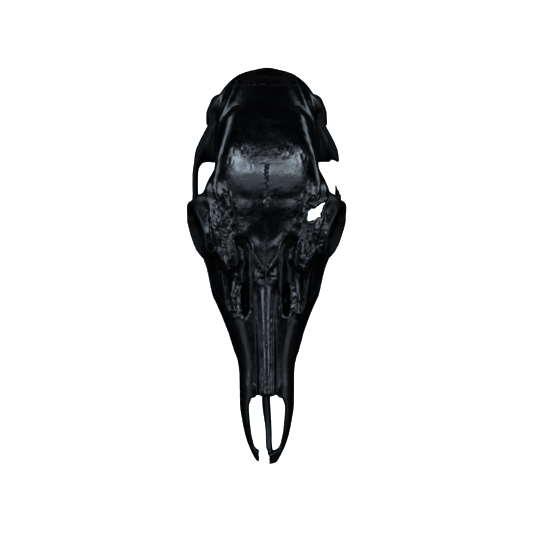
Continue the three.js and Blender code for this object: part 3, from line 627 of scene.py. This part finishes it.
def add_relief(skull):
    x = AXES[0][:, None] - LEAN[None, :]
    y = AXES[1][None, :]
    side = np.abs(x)
    rough = np.clip(sum(share * spot(x, y, *place) for share, *place in ROUGH_PLACES), 0, 1)
    fibrous = spot(x, y, *FIBROUS_PLACE)
    spongy = spot(x, y, *SPONGY_PLACE)
    groove = BROW_GROOVE_DEPTH * np.exp(-(line_distance(side, y, BROW_GROOVE) ** 2))
    for hole_x, hole_y, radius in BROW_FORAMINA:
        groove += BROW_FORAMEN_DEPTH * np.exp(-(((side - hole_x) ** 2 + (y - hole_y) ** 2) / radius**2))
    arm_height = 0.4 + 1.1 * np.clip((22 - y) / 22, 0, 1)
    arm = -arm_height * np.exp(-((line_distance(side, y, NASION_ARM) / NASION_ARM_WIDTH) ** 2))
    ridge = -FACE_RIDGE_HEIGHT * np.exp(-((line_distance(side, y, FACE_RIDGE) / FACE_RIDGE_WIDTH) ** 2))
    dome = 1.2 * spot(x, y, *BROW_FALL) - 0.4 * spot(x, y, *FRONTAL_DOME)
    seam = suture_lines()[0]
    seam_depth = SEAM_DEPTH * np.clip((y - 36) / 8, 0.15, 1) * np.clip((69 - y) / 4, 0, 1)
    groove += seam_depth * np.exp(-np.abs(seam) / SEAM_WIDTH) * (np.abs(y - 36) < 40)
    upper = (AXES[2] > UPPER_SKIN)[None, None, :]
    skull.field += ((groove + arm + dome)[:, :, None] * upper).astype(np.float32)
    skull.field += (ridge[:, :, None] * (AXES[2] > FACE_SKIN)[None, None, :]).astype(np.float32)
    skull.field += 0.03 * noise(9, 1) + 0.02 * noise(3.2, 2)
    for heights, scale, seed in (
        (0.02 + 0.09 * rough, 1.9, 3),
        (0.015 + 0.13 * rough, 1.2, 6),
        (0.11 * fibrous, (0.9, 3.6, 3), 4),
        (0.42 * spongy, 2.3, 7),
    ):
        skull.field += heights[:, :, None].astype(np.float32) * noise(scale, seed)


# Old breaks

LOST_ARCH = [
    (38, 47.6), (43.2, 48.8), (44.4, 50.6), (45.6, 54.8), (46.6, 55), (47.2, 52.4), (48.6, 48.6),
    (58, 47), (58, 75), (49.4, 71.6), (47.6, 70.4), (46.2, 71.4), (43.8, 72.6), (42.4, 70.8),
    (41.4, 69.7), (36, 70.2),
]
LOST_ARCH_HEIGHTS = (34, 60)
BROW_HOLE = [
    (26.9, 29), (25.6, 31), (26.4, 33), (26.2, 35.2), (28, 36.6), (29.2, 38.2), (31, 37.6), (33.8, 40),
    (38.8, 42.6), (36.6, 38.6), (36, 36), (34.8, 34.6), (35.4, 32.2), (32.6, 31.4), (31, 29.6),
]
BROW_HOLE_FROM = 58
RAGGEDNESS = 0.35
LOST_TIP = [(-5.6, -126), (-5.4, -131), (-6.4, -140), (1.8, -140), (2, -130), (-0.6, -124)]


def add_breaks(skull):
    ragged = RAGGEDNESS * noise(1.5, 5)
    x = AXES[0][:, None] + 0 * AXES[1][None, :]
    y = AXES[1][None, :] + 0 * x
    z = AXES[2][None, None, :]
    arch = np.maximum(outline_distance(LOST_ARCH, x, y)[:, :, None], LOST_ARCH_HEIGHTS[0] - z)
    arch = np.maximum(arch, z - LOST_ARCH_HEIGHTS[1])
    brow = np.maximum(outline_distance(BROW_HOLE, x, y)[:, :, None], BROW_HOLE_FROM - z)
    tip = outline_distance(LOST_TIP, x, y)[:, :, None] + 0 * z
    for lost in (arch, brow, tip):
        np.maximum(skull.field, -(lost + ragged), out=skull.field)


# Teeth: crown length, crown width and lobes from P2 back to M3

TEETH = [(10, 8, 1), (10.5, 9.5, 1), (10, 10.5, 1), (13, 12, 2), (14.5, 12.5, 2), (15, 11.8, 2)]
ROW_FRONT = -51.5
ROW_X = (17.4, 26)
GUM = (20, 12.5)
CROWN = (9, -0.6)
TOOTH_ROOT = 8
TOOTH_OVERLAP = 1.02  # so that neighbours touch


def tooth_form(x0, y0, length, width, lobes, gum, crown):
    def field(x, y, z):
        u, v = (x - x0) / (width / 2), (y - y0) / (length / 2)
        lobe = v if lobes == 1 else 2 * np.abs(v) - 1
        waist = 1 - (0.2 * np.exp(-((v / 0.2) ** 2)) if lobes == 2 else 0)
        pillar = 1 + 0.07 * np.cos(math.pi * lobe) * (u > 0)
        flare = 0.84 + 0.16 * np.clip((gum + 2 - z) / (gum + 2 - crown), 0, 1)
        spread = (np.abs(u / (waist * pillar)) ** 3 + np.abs(v) ** 3) ** (1 / 3)
        wall = (spread / flare - 1) * min(length, width) / 2
        crescent = 1.9 * np.exp(-(((u - 0.1 + 0.35 * lobe**2) / 0.2) ** 2)) * (1 - 0.5 * lobe**2)
        parting = 1.3 * np.exp(-((v / 0.1) ** 2)) if lobes == 2 else 0
        bite = crown + crescent + parting + 0.7 * (1 - u) + 0.5 * lobe**2
        return np.maximum(np.maximum(wall, bite - z), z - gum - TOOTH_ROOT).astype(np.float32)

    low = (x0 - width / 2, y0 - length / 2, crown - 1)
    high = (x0 + width / 2, y0 + length / 2, gum + TOOTH_ROOT)
    return field, low, high


def add_teeth(skull):
    row_length = sum(tooth[0] for tooth in TEETH)
    start = 0
    for length, width, lobes in TEETH:
        middle = start + length / 2
        along = middle / row_length
        x0 = ROW_X[0] + (ROW_X[1] - ROW_X[0]) * math.sin(along * math.pi / 2)
        gum = GUM[0] + (GUM[1] - GUM[0]) * along
        crown = CROWN[0] + (CROWN[1] - CROWN[0]) * along
        skull.join(tooth_form(x0, ROW_FRONT + middle, length * TOOTH_OVERLAP, width, lobes, gum, crown), 0.5)
        start += length


# Bones, in the order in which they are cut free: outlines of the plan (X, Y) and of the side (Y, Z)

BONES = {
    "vomer": (
        [(-5.6, -88), (4.2, -88), (4.6, -122), (3, -128.4), (-3, -128.4), (-5.4, -118)],
        [(-150, 10), (-60, 10), (-60, 52), (-150, 52)],
    ),
    "nasal": (
        [(0, -95), (7, -95), (7, -60), (7.4, -30), (8.4, -14), (5, -3), (0, -1)],
        [(-95, 53), (-60, 59), (-30, 65), (2, 72), (2, 110), (-95, 110)],
    ),
    "premaxilla": (
        [(0, -150), (40, -150), (40, -60), (0, -60)],
        [(-150, -10), (-94, -10), (-94, 27), (-73, 56), (-73, 110), (-150, 110)],
    ),
    "lacrimal": (
        [(13, 5), (13, -10), (20, -24), (29, -22), (38, -8), (40, 4), (34, 11), (22, 13)],
        [(-40, 50), (-12, 46), (30, 52), (30, 110), (-40, 110)],
    ),
    "zygomatic": (
        [(31, -24), (70, -24), (70, 55.5), (42, 55.5), (42, 30), (37, 14), (31, 4)],
        [(-30, 31), (70, 31), (70, 60), (36, 60), (20, 53), (-30, 46)],
    ),
    "frontal": (
        [(0, -1), (5, -3), (8.4, -14), (13, -11), (13, 5), (22, 13), (34, 11), (70, 2), (70, 58), (36, 65),
         (14, 73), (0, 70)],
        [(-20, 63), (12, 60), (50, 56), (90, 56), (90, 110), (-20, 110)],
    ),
    "parietal": (
        [(-70, 58), (-36, 65), (-14, 73), (0, 70), (14, 73), (36, 65), (70, 58), (70, 114), (20, 118),
         (-20, 118), (-70, 114)],
        [(50, 57), (72, 57), (98, 55), (112, 60), (126, 66), (126, 110), (50, 110)],
    ),
    "bulla": (
        [(10.5, 76), (30.5, 76), (30.5, 102), (15, 102), (10.5, 94)],
        [(70, -10), (110, -10), (110, 29), (70, 30)],
    ),
    "temporal": (
        [(24, 60), (40, 52), (70, 52), (70, 104), (37, 103), (24, 99)],
        [(40, 27), (120, 27), (120, 70), (40, 70)],
    ),
    "occipital": (
        [(-70, 103), (-37, 102.5), (-24, 99), (-10, 90), (10, 90), (24, 99), (37, 102.5), (70, 103),
         (70, 150), (-70, 150)],
        [(80, -10), (150, -10), (150, 110), (80, 110)],
    ),
    "maxilla": (
        [(0, -110), (70, -110), (70, 26), (13, 26), (11, 14), (0, 12)],
        [(-110, -10), (40, -10), (40, 38), (18, 44), (2, 56), (-8, 90), (-110, 90)],
    ),
    "sphenoid": (
        [(-90, -160), (90, -160), (90, 160), (-90, 160)],
        [(-160, -20), (160, -20), (160, 120), (-160, 120)],
    ),
}
CUT_MARGIN = 3  # how far past its outlines a bone is worked out
UNPAIRED = {"vomer", "parietal", "occipital", "sphenoid"}


def bone_parts():
    for name, (plan, side) in BONES.items():
        if name in UNPAIRED:
            yield name, plan, side
            continue
        yield f"{name}_left", plan, side
        yield f"{name}_right", [(-x, y) for x, y in reversed(plan)], side


def largest_surface(points, quads):
    """The mesh without its smaller loose surfaces."""
    label = np.arange(len(points))
    edges = np.concatenate([quads[:, [0, 1]], quads[:, [1, 2]], quads[:, [2, 3]]])
    while True:
        lowest = np.minimum(label[edges[:, 0]], label[edges[:, 1]])
        fresh = label.copy()
        np.minimum.at(fresh, edges[:, 0], lowest)
        np.minimum.at(fresh, edges[:, 1], lowest)
        fresh = fresh[fresh]
        if np.array_equal(fresh, label):
            break
        label = fresh
    kept = label == np.bincount(label).argmax()
    number = np.cumsum(kept) - 1
    return points[kept], number[quads[kept[quads[:, 0]]]]


def smooth(points, quads, rounds):
    """Points drawn halfway to the middle of their neighbours and most of the way back out again."""
    edges = np.concatenate([quads[:, [0, 1]], quads[:, [1, 2]], quads[:, [2, 3]], quads[:, [3, 0]]])
    counts = np.bincount(edges[:, 0], minlength=len(points))[:, None]
    for _ in range(rounds):
        for pull in SMOOTHING_PULLS:
            columns = points[edges[:, 1]].T
            middle = np.stack([np.bincount(edges[:, 0], column, len(points)) for column in columns], axis=1)
            points = points + pull * (middle / counts - points)
    return points


def sample(values, places):
    """Values of a grid between its points."""
    low = np.clip(places.astype(int), 0, np.array(values.shape) - 2)
    t = places - low
    total = 0
    for corner in CORNERS:
        weight = np.prod(np.where(corner, t, 1 - t), axis=1)
        total = total + weight * values[tuple((low + corner).T)]
    return total


def slope(values, places):
    """How values of a grid rise along X, Y and Z, for each millimetre."""
    rises = [sample(values, places + step) - sample(values, places - step) for step in np.eye(3)]
    return np.stack(rises, axis=1) / (2 * CELL)


def settle(points, skin, cut, low):
    """Points moved onto the bone's skin, its cut faces or the sharp edge between, with their normals."""
    for _ in range(SETTLING):
        places = (points - low) / CELL
        f, g = sample(skin, places), sample(cut, places)
        df, dg = slope(skin, places), slope(cut, places)
        ff, gg, fg = (df * df).sum(1) + 1e-9, (dg * dg).sum(1) + 1e-9, (df * dg).sum(1)
        room = ff * gg - fg * fg
        edge = (np.abs(f) < CELL / 2) & (np.abs(g) < CELL / 2) & (room > EDGE_SHARPNESS * ff * gg)
        outer = f >= g
        a = np.where(edge, (fg * g - gg * f) / np.where(edge, room, 1), np.where(outer, -f / ff, 0))
        b = np.where(edge, (fg * f - ff * g) / np.where(edge, room, 1), np.where(outer, 0, -g / gg))
        move = a[:, None] * df + b[:, None] * dg
        reach = np.linalg.norm(move, axis=1, keepdims=True)
        points = points + move * np.minimum(1, SETTLING_STEP * CELL / np.maximum(reach, 1e-9))
    normals = np.where((edge | outer)[:, None], df, dg)
    return points, normals / np.maximum(np.linalg.norm(normals, axis=1, keepdims=True), 1e-9)


def seam_gap(part):
    """The gap between neighbouring bones over a window of the plan, widest between the frontals."""
    x, y = AXES[0][part[0]][:, None], AXES[1][part[1]][None, :]
    front, back = OPEN_SEAM_SPAN
    between_frontals = (np.abs(x) < 5) * (y > front) * np.clip((back - y) / 4, 0, 1)
    return (SUTURE + OPEN_SEAM * between_frontals).astype(np.float32)


def mesh_bones(skull):
    """Points, quads and normals of each bone, in millimetres."""
    cut_x, cut_y = suture_lines()
    side_y = AXES[1][:, None] + 0.4 * np.sin(AXES[2][None, :] / 2.1)
    side_z = AXES[2][None, :] + 0.5 * np.sin(AXES[1][:, None] / 2.4) + 0.3 * np.sin(AXES[1][:, None] / 1.1)
    taken = np.full(SHAPE, 1e3, np.float32)
    bones = {}
    for name, plan, side in bone_parts():
        (x0, y0), (x1, y1) = np.min(plan, axis=0) - CUT_MARGIN, np.max(plan, axis=0) + CUT_MARGIN
        (v0, z0), (v1, z1) = np.min(side, axis=0) - CUT_MARGIN, np.max(side, axis=0) + CUT_MARGIN
        part = window((x0, max(y0, v0), z0), (x1, min(y1, v1), z1))
        over = outline_distance(plan, cut_x[part[:2]], cut_y[part[:2]])
        along = outline_distance(side, side_y[part[1:]], side_z[part[1:]])
        territory = np.maximum(over[:, :, None], along[None, :, :])
        cut = np.maximum(territory, -taken[part]) + seam_gap(part)[:, :, None] / 2
        skin = skull.field[part]
        taken[part] = np.minimum(taken[part], territory)
        low = np.array([axis[edge.start] for axis, edge in zip(AXES, part)])
        values = np.pad(np.maximum(skin, cut), 1, constant_values=1)
        points, quads = largest_surface(*surface_net(values, low - CELL))
        points, normals = settle(smooth(points, quads, SMOOTHING), skin, cut, low)
        bones[name] = points, quads, normals
    return bones


# Materials

# Where the paint is thin and dull, inside the orbits and low down behind them, in metres: from none to all
DULL_BEHIND = {"X": (0.03, 0.033), "Y": (0.062, 0.07), "Z": (0.056, 0.048)}
DULL_ORBITS = {"X": (0.037, 0.041), "Z": (0.084, 0.076)}
GLOSS = {"specular": 0.5, "dull_specular": 0.1, "dull_roughness": 0.3}
PAINT_GRAIN = 0.0003  # height of the bumps in the paint


def black_paint():
    """Gloss black spray paint over bone: nearly black, a little blue, with an uneven skin."""
    material = bpy.data.materials.new("black_paint")
    material.use_nodes = True
    nodes, links = material.node_tree.nodes, material.node_tree.links
    shader = nodes["Principled BSDF"]
    place = nodes.new("ShaderNodeTexCoord")

    def texture(scale, detail):
        node = nodes.new("ShaderNodeTexNoise")
        node.inputs["Scale"].default_value = scale
        node.inputs["Detail"].default_value = detail
        links.new(place.outputs["Object"], node.inputs["Vector"])
        return node.outputs["Fac"]

    def ramp(source, stops):
        node = nodes.new("ShaderNodeValToRGB")
        links.new(source, node.inputs["Fac"])
        for element, (position, colour) in zip(node.color_ramp.elements, stops):
            element.position = position
            element.color = (*colour, 1)
        return node.outputs["Color"]

    colour = ramp(texture(60, 5), [(0.35, (0.0007, 0.0008, 0.0011)), (0.7, (0.002, 0.0021, 0.0026))])
    links.new(colour, shader.inputs["Base Color"])
    gloss = ramp(texture(140, 6), [(0.3, (0.14,) * 3), (0.72, (0.24,) * 3)])
    split = nodes.new("ShaderNodeSeparateXYZ")
    links.new(place.outputs["Object"], split.inputs["Vector"])

    def rise(source, start, end, low, high):
        node = nodes.new("ShaderNodeMapRange")
        for socket, value in (("From Min", start), ("From Max", end), ("To Min", low), ("To Max", high)):
            node.inputs[socket].default_value = value
        links.new(source, node.inputs["Value"])
        return node.outputs["Result"]

    def combine(operation, a, b):
        node = nodes.new("ShaderNodeMath")
        node.operation = operation
        links.new(a, node.inputs[0])
        links.new(b, node.inputs[1])
        return node.outputs["Value"]

    outward = combine("MULTIPLY", split.outputs["X"], split.outputs["X"])

    def within(limits):
        """1 where every coordinate is past its limits, X on both sides."""
        share = rise(outward, *(x**2 for x in limits["X"]), 0, 1)
        for axis in list(limits)[1:]:
            share = combine("MULTIPLY", share, rise(split.outputs[axis], *limits[axis], 0, 1))
        return share

    dull = combine("MAXIMUM", within(DULL_BEHIND), within(DULL_ORBITS))
    dull_roughness = rise(dull, 0, 1, 0, GLOSS["dull_roughness"])
    links.new(combine("ADD", gloss, dull_roughness), shader.inputs["Roughness"])
    specular = rise(dull, 0, 1, GLOSS["specular"], GLOSS["dull_specular"])
    links.new(specular, shader.inputs["Specular IOR Level"])
    bump = nodes.new("ShaderNodeBump")
    grain = ramp(texture(70, 3), [(0.42, (0.12,) * 3), (0.64, (0.42,) * 3)])
    links.new(grain, bump.inputs["Strength"])
    bump.inputs["Distance"].default_value = PAINT_GRAIN
    links.new(combine("ADD", texture(1400, 3), texture(420, 4)), bump.inputs["Height"])
    links.new(bump.outputs["Normal"], shader.inputs["Normal"])
    return material


# Pieces


def build_pieces():
    skull = build_skull()
    add_relief(skull)
    add_breaks(skull)
    add_teeth(skull)
    np.maximum(skull.field, -AXES[2][None, None, :], out=skull.field)
    bones = mesh_bones(skull)
    everything = np.concatenate([bone[0] for bone in bones.values()])
    own_middle = (everything.min(axis=0) + everything.max(axis=0)) / 2
    cad_middle = 1000 * (np.array(cad_low) + np.array(cad_high)) / 2
    move = np.array([cad_middle[0] - own_middle[0], cad_middle[1] - own_middle[1], 0])
    paint = black_paint()
    for name, (points, quads, normals) in bones.items():
        mesh = bpy.data.meshes.new(f"{name}_bone")
        mesh.from_pydata((points + move) / 1000, [], quads.tolist())
        mesh.materials.append(paint)
        mesh.shade_smooth()
        mesh.normals_split_custom_set_from_vertices(normals)
        piece = bpy.data.objects.new(f"{name}_bone", mesh)
        bpy.context.scene.collection.objects.link(piece)
        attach(piece, "root")
        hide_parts(name)


# Stage, light and camera

PHOTO_SIDE = 533
MM_PER_PIXEL = 0.66  # at the height of the orbits
ORBIT_HEIGHT = 60
CAMERA_HEIGHT = 900
SENSOR = 36
SKULL_CENTRE_Y = 1.8  # the photo's middle, against the part's own
FLOOR_SIZE = 6  # from here on in metres and watts
FLOOR_COLOUR = (0.86, 0.86, 0.86, 1)
FLOOR_ROUGHNESS = 0.9
FLOOR_GLOW = 0.8
LAMP_COLOUR = (0.76, 0.88, 1)
OVERHEAD_LAMP = "overhead_box", (0, 0.28, 1.5), (0, 0.2, 0), (1.3, 0.7), 8
SIDE_LAMPS = [  # name, place, target, size and power of the lamps on the left
    ("back_box", (0.3, 0.68, 1.42), (0, 0.06, 0.08), (0.42, 0.4), 8),
    ("front_box", (0.4, -0.78, 1.35), (0, -0.02, 0.07), (0.36, 0.32), 3.4),
    ("side_box", (1, -0.25, 1.05), (0, 0.02, 0.07), (0.5, 0.5), 7),
    ("strip", (1.3, 0.5, 0.3), (0, 0.05, 0.06), (2, 0.5), 19),
    ("front_strip", (1.3, -0.84, 0.3), (0, -0.05, 0.06), (0.66, 0.5), 1.5),
]
# Brightness of the studio from straight below (0) over the horizon (0.5) to straight above (1)
HORIZON = [(0.2, 0.005), (0.42, 0.05), (0.5, 0.2), (0.58, 0.05), (0.68, 0.0015)]
VIEW_GAMMA = 0.78


def build_stage():
    size = FLOOR_SIZE
    mesh = bpy.data.meshes.new("floor")
    corners = [(-size, -size, 0), (size, -size, 0), (size, size, 0), (-size, size, 0)]
    mesh.from_pydata(corners, [], [(0, 1, 2, 3)])
    material = bpy.data.materials.new("pale_floor")
    material.use_nodes = True
    shader = material.node_tree.nodes["Principled BSDF"]
    shader.inputs["Base Color"].default_value = FLOOR_COLOUR
    shader.inputs["Roughness"].default_value = FLOOR_ROUGHNESS
    shader.inputs["Emission Color"].default_value = (1, 1, 1, 1)
    shader.inputs["Emission Strength"].default_value = FLOOR_GLOW
    mesh.materials.append(material)
    floor = bpy.data.objects.new("floor", mesh)
    floor.visible_glossy = False
    bpy.context.scene.collection.objects.link(floor)


def area_light(name, place, target, size, power):
    light = bpy.data.lights.new(name, "AREA")
    light.shape = "RECTANGLE"
    light.size, light.size_y = size
    light.energy = power
    light.color = LAMP_COLOUR
    lamp = bpy.data.objects.new(name, light)
    lamp.location = place
    lamp.rotation_euler = (Vector(target) - Vector(place)).to_track_quat("-Z", "Y").to_euler()
    bpy.context.scene.collection.objects.link(lamp)


def horizon_world():
    """A dark studio with a dim glow round the horizon."""
    world = bpy.data.worlds.new("studio")
    world.use_nodes = True
    nodes, links = world.node_tree.nodes, world.node_tree.links
    direction = nodes.new("ShaderNodeTexCoord")
    split = nodes.new("ShaderNodeSeparateXYZ")
    links.new(direction.outputs["Generated"], split.inputs["Vector"])
    height = nodes.new("ShaderNodeMapRange")
    height.inputs["From Min"].default_value = -1
    links.new(split.outputs["Z"], height.inputs["Value"])
    ramp = nodes.new("ShaderNodeValToRGB")
    links.new(height.outputs["Result"], ramp.inputs["Fac"])
    while len(ramp.color_ramp.elements) < len(HORIZON):
        ramp.color_ramp.elements.new(1)
    for element, (position, value) in zip(ramp.color_ramp.elements, HORIZON):
        element.position = position
        element.color = (value, value, value * 1.05, 1)
    links.new(ramp.outputs["Color"], nodes["Background"].inputs["Color"])
    bpy.context.scene.world = world


def build_lights():
    area_light(*OVERHEAD_LAMP)
    for side_name, side in (("left", 1), ("right", -1)):
        for name, (x, y, z), target, size, power in SIDE_LAMPS:
            area_light(f"{side_name}_{name}", (side * x, y, z), target, size, power)
    horizon_world()


def build_camera():
    camera = bpy.data.cameras.new("camera")
    camera.sensor_width = SENSOR
    camera.lens = SENSOR * (CAMERA_HEIGHT - ORBIT_HEIGHT) / (PHOTO_SIDE * MM_PER_PIXEL)
    holder = bpy.data.objects.new("camera", camera)
    holder.location = (0, SKULL_CENTRE_Y / 1000, CAMERA_HEIGHT / 1000)
    bpy.context.scene.collection.objects.link(holder)
    bpy.context.scene.camera = holder


build_pieces()
build_stage()
build_lights()
build_camera()
bpy.context.scene.view_settings.view_transform = "Standard"
bpy.context.scene.view_settings.gamma = VIEW_GAMMA
